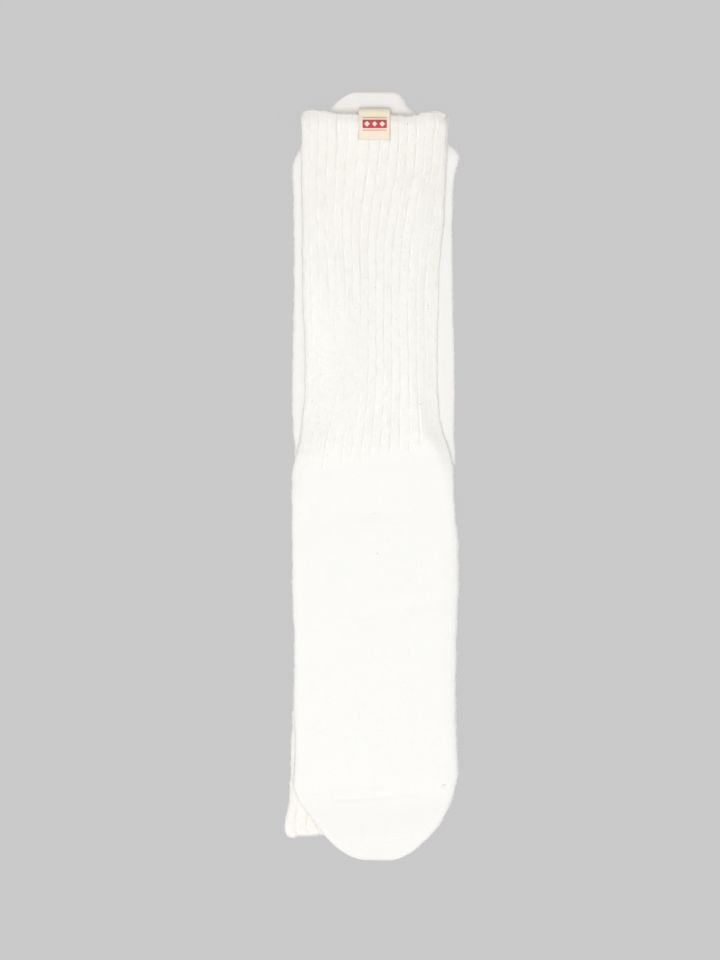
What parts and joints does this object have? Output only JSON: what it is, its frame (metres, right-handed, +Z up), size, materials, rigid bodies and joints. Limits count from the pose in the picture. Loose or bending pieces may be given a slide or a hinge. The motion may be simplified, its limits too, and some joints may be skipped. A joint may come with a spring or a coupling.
{
  "type": "pair of crew socks",
  "caption": "Pair of ribbed crew socks lying flat, head to toe and one on the other, with a small folded label on the upper cuff.",
  "frame": {"origin": "on the surface that the socks lie on, under the middle of the pair", "axes": "+X across the socks, +Y along them towards the upper sock's cuff, +Z up"},
  "size_m": [0.1044, 0.4606, 0.0129],
  "materials": {
    "sock_cloth": "matte off-white cotton knit, ribbed on the leg and plain on the foot",
    "label_cloth": "matte cream woven tape with a red woven band"
  },
  "bodies": {
    "root": {"lower_sock": "sock_cloth", "upper_sock": "sock_cloth", "label": "label_cloth"}
  },
  "joints": []
}
